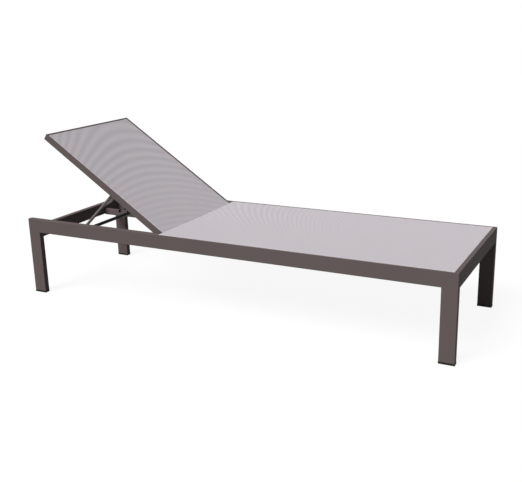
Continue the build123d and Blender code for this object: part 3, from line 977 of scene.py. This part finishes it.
def glide_shape(low, high, plate):
    """A leg's foot: rings round the leg's outline, each grown or drawn in, from the plug down.

    The plug goes up into the tube, the plate covers its end, a thin lip goes up round the leg,
    and the underside has a shallow hollow inside a flat rim.
    """
    fitting = bpy.context.scene.lounger_fitting
    lip, recess = fitting.glide_lip, fitting.glide_recess
    top = plate + fitting.glide_collar
    snug = 0.05 * mm
    width, depth = high.x - low.x, high.y - low.y
    plug = -2.3 * mm
    lead = 1 * mm
    corner = 2.5 * mm
    least_corner = 0.4 * mm
    lip_edge = 0.4 * mm
    heel, toe, sole = 1.4 * mm, 0.5 * mm, -0.3 * mm
    rim, slope, hollow = -4 * mm, -4.8 * mm, -9 * mm
    levels = ((plug - lead, high.z), (plug, high.z - lead), (plug, plate), (snug, plate),
              (snug, top), (0.6 * lip, top), (lip, top - lip_edge), (lip, heel),
              (0.6 * lip, toe), (sole, 0), (rim, 0), (slope, recess), (hollow, recess))
    rings = []
    for grow, level in levels:
        radius = max(least_corner, corner + grow / 2)
        outline = rounded_rectangle(width + 2 * grow, depth + 2 * grow, radius)
        rings.append(np.column_stack([outline, np.full(len(outline), level)]))
    rings = np.array(rings)
    rings[..., 0] += (low.x + high.x) / 2
    rings[..., 1] += (low.y + high.y) / 2
    return tube(rings)


def turned(profile, steps=32):
    """A closed shape of revolution: rings of points at each (radius, height) of a profile."""
    angle = np.linspace(0, 2 * pi, steps, endpoint=False)
    radius, height = np.array(profile).T
    rings = np.stack([radius[:, None] * np.cos(angle), radius[:, None] * np.sin(angle),
                      np.broadcast_to(height[:, None], (len(radius), steps))], -1)
    return tube(rings)


def clip_shape(centre, out, inner, outer, thickness, prongs):
    """A retaining clip: a flat ring with a mouth, whose inner edge bends in to its prongs.

    The inner radius follows a cosine of the angle, as many times round as there are prongs.
    """
    mouth = radians(148)
    prong_share = 0.42
    soft = 0.12 * mm
    angle = np.linspace(-mouth, mouth, num=49)
    wave = 0.5 - 0.5 * np.cos(prongs * angle)
    hole = inner + (outer - inner) * prong_share * wave
    face = thickness / 2
    section = ((hole, -face + soft), (hole + soft, -face),
               (outer - soft, -face), (outer, -face + soft),
               (outer, face - soft), (outer - soft, face),
               (hole + soft, face), (hole, face - soft))
    rings = []
    for radius, level in section:
        radius = np.broadcast_to(radius, angle.shape)
        rings.append(centre + np.stack([radius * np.cos(angle), np.full_like(angle, level) * out,
                                        radius * np.sin(angle)], -1))
    return tube(np.array(rings).transpose(1, 0, 2))


class MakeFittings(Operator):
    """Mould the glides and buffers, and press the clips of the prop's pins"""

    bl_idname = "lounger.fittings"
    bl_label = "Fittings"

    def execute(self, context):
        fitting = context.scene.lounger_fitting
        for end in ("head", "foot"):
            for side in ("left", "right"):
                node = f"{end}_{side}_glide"
                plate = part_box(f"{end}_{side}_leg")[0].z
                shape = glide_shape(*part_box(node), plate)
                add_piece(f"{end}_{side}_foot", shape, "frame",
                          moulded_plastic, [node])

        low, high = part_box("rest_buffers")
        radius, height = (high.x - low.x) / 2, high.z - low.z
        shares = ((0.5, 0), (1, 0), (1, 0.12), (0.9, 0.2), (0.84, 0.7), (0.78, 0.84),
                  (0.6, 0.95), (0.3, 0.995), (0.05, 1))
        points, faces = turned([(wide * radius, up * height) for wide, up in shares])
        sides = [points + ((low.x + high.x) / 2, side * (high.y - radius), low.z)
                 for side in (1, -1)]
        add_piece("buffers", joined([(place, faces) for place in sides]), "frame",
                  buffer_rubber, ["rest_buffers"])

        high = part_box("prop_pin_clips")[1]
        outer = high.x - prop_pin[0]
        inner = 3.02 * mm
        thickness = 1 * mm
        clips = []
        for side in (1, -1):
            centre = np.array((prop_pin[0], side * (high.y - thickness / 2), prop_pin[2]))
            clips.append(clip_shape(centre, side, inner, outer, thickness, fitting.clip_prongs))
        add_piece("pin_clips", joined(clips), "back", zinc_plate, ["prop_pin_clips"])
        return {"FINISHED"}


class FinishFrame(Operator):
    """Give every frame part its finish: powder coat, plastic, rubber, nylon and plated steel"""

    bl_idname = "lounger.finish_frame"
    bl_label = "Frame Finishes"

    def execute(self, context):
        makers = {
            "frame_paint": powder_coat, "glide_plastic": moulded_plastic,
            "bush_nylon": moulded_plastic, "buffer_rubber": buffer_rubber,
            "pin_steel": zinc_plate, "keder_plastic": keder_rod, "prop_steel": prop_coat,
            "sling_mesh": woven_seat,
        }
        for node in frame["nodes"].values():
            for holder in node.material_slots:
                slot = holder.material.name.split(".")[0]
                if slot not in makers:
                    raise ValueError(f"{node.name} has a slot with no finish: {slot}")
                holder.material = material(makers[slot])
        return {"FINISHED"}


class SetStage(Operator):
    """Set up the camera, a soft sun, a pale sky and a white floor"""

    bl_idname = "lounger.stage"
    bl_label = "Stage"

    def execute(self, context):
        scene = context.scene
        stage = scene.lounger_stage
        scene.view_settings.view_transform = "Standard"

        lens = bpy.data.cameras.new("camera")
        lens.lens = stage.camera_lens
        lens.sensor_width = 36
        camera = bpy.data.objects.new("camera", lens)
        camera.location = stage.camera_place
        camera.rotation_euler = stage.camera_turn
        scene.collection.objects.link(camera)
        scene.camera = camera

        lamp = bpy.data.lights.new("sun", "SUN")
        lamp.energy = stage.sun_strength
        lamp.angle = stage.sun_width
        sun = bpy.data.objects.new("sun", lamp)
        sun.rotation_euler = Vector(stage.sun_way).to_track_quat("Z", "Y").to_euler()
        scene.collection.objects.link(sun)

        self.light_sky(scene, stage)
        self.lay_floor(scene, stage)
        return {"FINISHED"}

    def seen(self, finish):
        """1 for rays from the camera, mirrored rays and rays through glass, and 0 for the rest."""
        path = finish.node("ShaderNodeLightPath", output="Is Camera Ray")
        outputs = path.socket.node.outputs
        glossy = Socket(finish, outputs["Is Glossy Ray"])
        through = Socket(finish, outputs["Is Transmission Ray"])
        return path.larger(glossy).larger(through)

    def light_sky(self, scene, stage):
        """White where it is seen, and an even pale grey where it only lights."""
        world = bpy.data.worlds.new("sky")
        scene.world = world
        sky = NodeTree(world)
        seen = self.seen(sky)
        background = sky.nodes["Background"]
        background.inputs["Color"].default_value = (1, 1, 1, 1)
        sky.feed(background.inputs["Strength"], seen + (1 - seen) * stage.sky_light)

    def lay_floor(self, scene, stage):
        """White where it is seen, with a faint shadow, and dim where it only reflects light."""
        shadow_grey = (0.1, 0.1, 0.1)
        reflected_grey = (0.25, 0.25, 0.25)
        own_light = 0.91
        half = stage.floor_width / 2
        corners = [(-half, -half, 0), (half, -half, 0), (half, half, 0), (-half, half, 0)]
        mesh = bpy.data.meshes.new("floor")
        mesh.from_pydata(corners, [], [(0, 1, 2, 3)])
        finish = Finish("floor")
        white = finish.node("ShaderNodeBsdfDiffuse", sockets={"Color": shadow_grey})
        glow = finish.node("ShaderNodeEmission", sockets={"Strength": own_light})
        shown = finish.node("ShaderNodeAddShader", sockets={0: white, 1: glow})
        dim = finish.node("ShaderNodeBsdfDiffuse", sockets={"Color": reflected_grey})
        both = finish.node("ShaderNodeMixShader",
                           sockets={0: self.seen(finish), 1: dim, 2: shown})
        finish.feed(finish.nodes["Material Output"].inputs["Surface"], both)
        mesh.materials.append(finish.material)
        floor = bpy.data.objects.new("floor", mesh)
        scene.collection.objects.link(floor)


class LOUNGER_PT_sidebar(Panel):
    """Steps and settings of the lounger"""

    bl_idname = "LOUNGER_PT_sidebar"
    bl_label = "Sun Lounger"
    bl_space_type = "VIEW_3D"
    bl_region_type = "UI"
    bl_category = "Lounger"

    def draw(self, context):
        for step in steps:
            self.layout.operator(step.bl_idname)
        for name, group in groups.items():
            box = self.layout.box()
            box.label(text=group.__doc__)
            for setting in group.__annotations__:
                box.prop(getattr(context.scene, name), setting)


groups = {
    "lounger_sling": SlingSettings,
    "lounger_coat": CoatSettings,
    "lounger_fitting": FittingSettings,
    "lounger_stage": StageSettings,
}
steps = (FinishFrame, MakeSeatSling, MakeBackSling, SewHems, AddWelds, MakeFittings, SetStage)


def register():
    """Register the settings, the steps and the panel."""
    for name, group in groups.items():
        bpy.utils.register_class(group)
        setattr(bpy.types.Scene, name, PointerProperty(type=group))
    for kind in (*steps, LOUNGER_PT_sidebar):
        bpy.utils.register_class(kind)


def unregister():
    """Take away what register adds."""
    for kind in (LOUNGER_PT_sidebar, *reversed(steps)):
        bpy.utils.unregister_class(kind)
    for name, group in groups.items():
        delattr(bpy.types.Scene, name)
        bpy.utils.unregister_class(group)


def main():
    """Build the lounger's looks, step by step."""
    register()
    for step in steps:
        group, name = step.bl_idname.split(".")
        getattr(getattr(bpy.ops, group), name)()


if __name__ == "__main__":
    main()
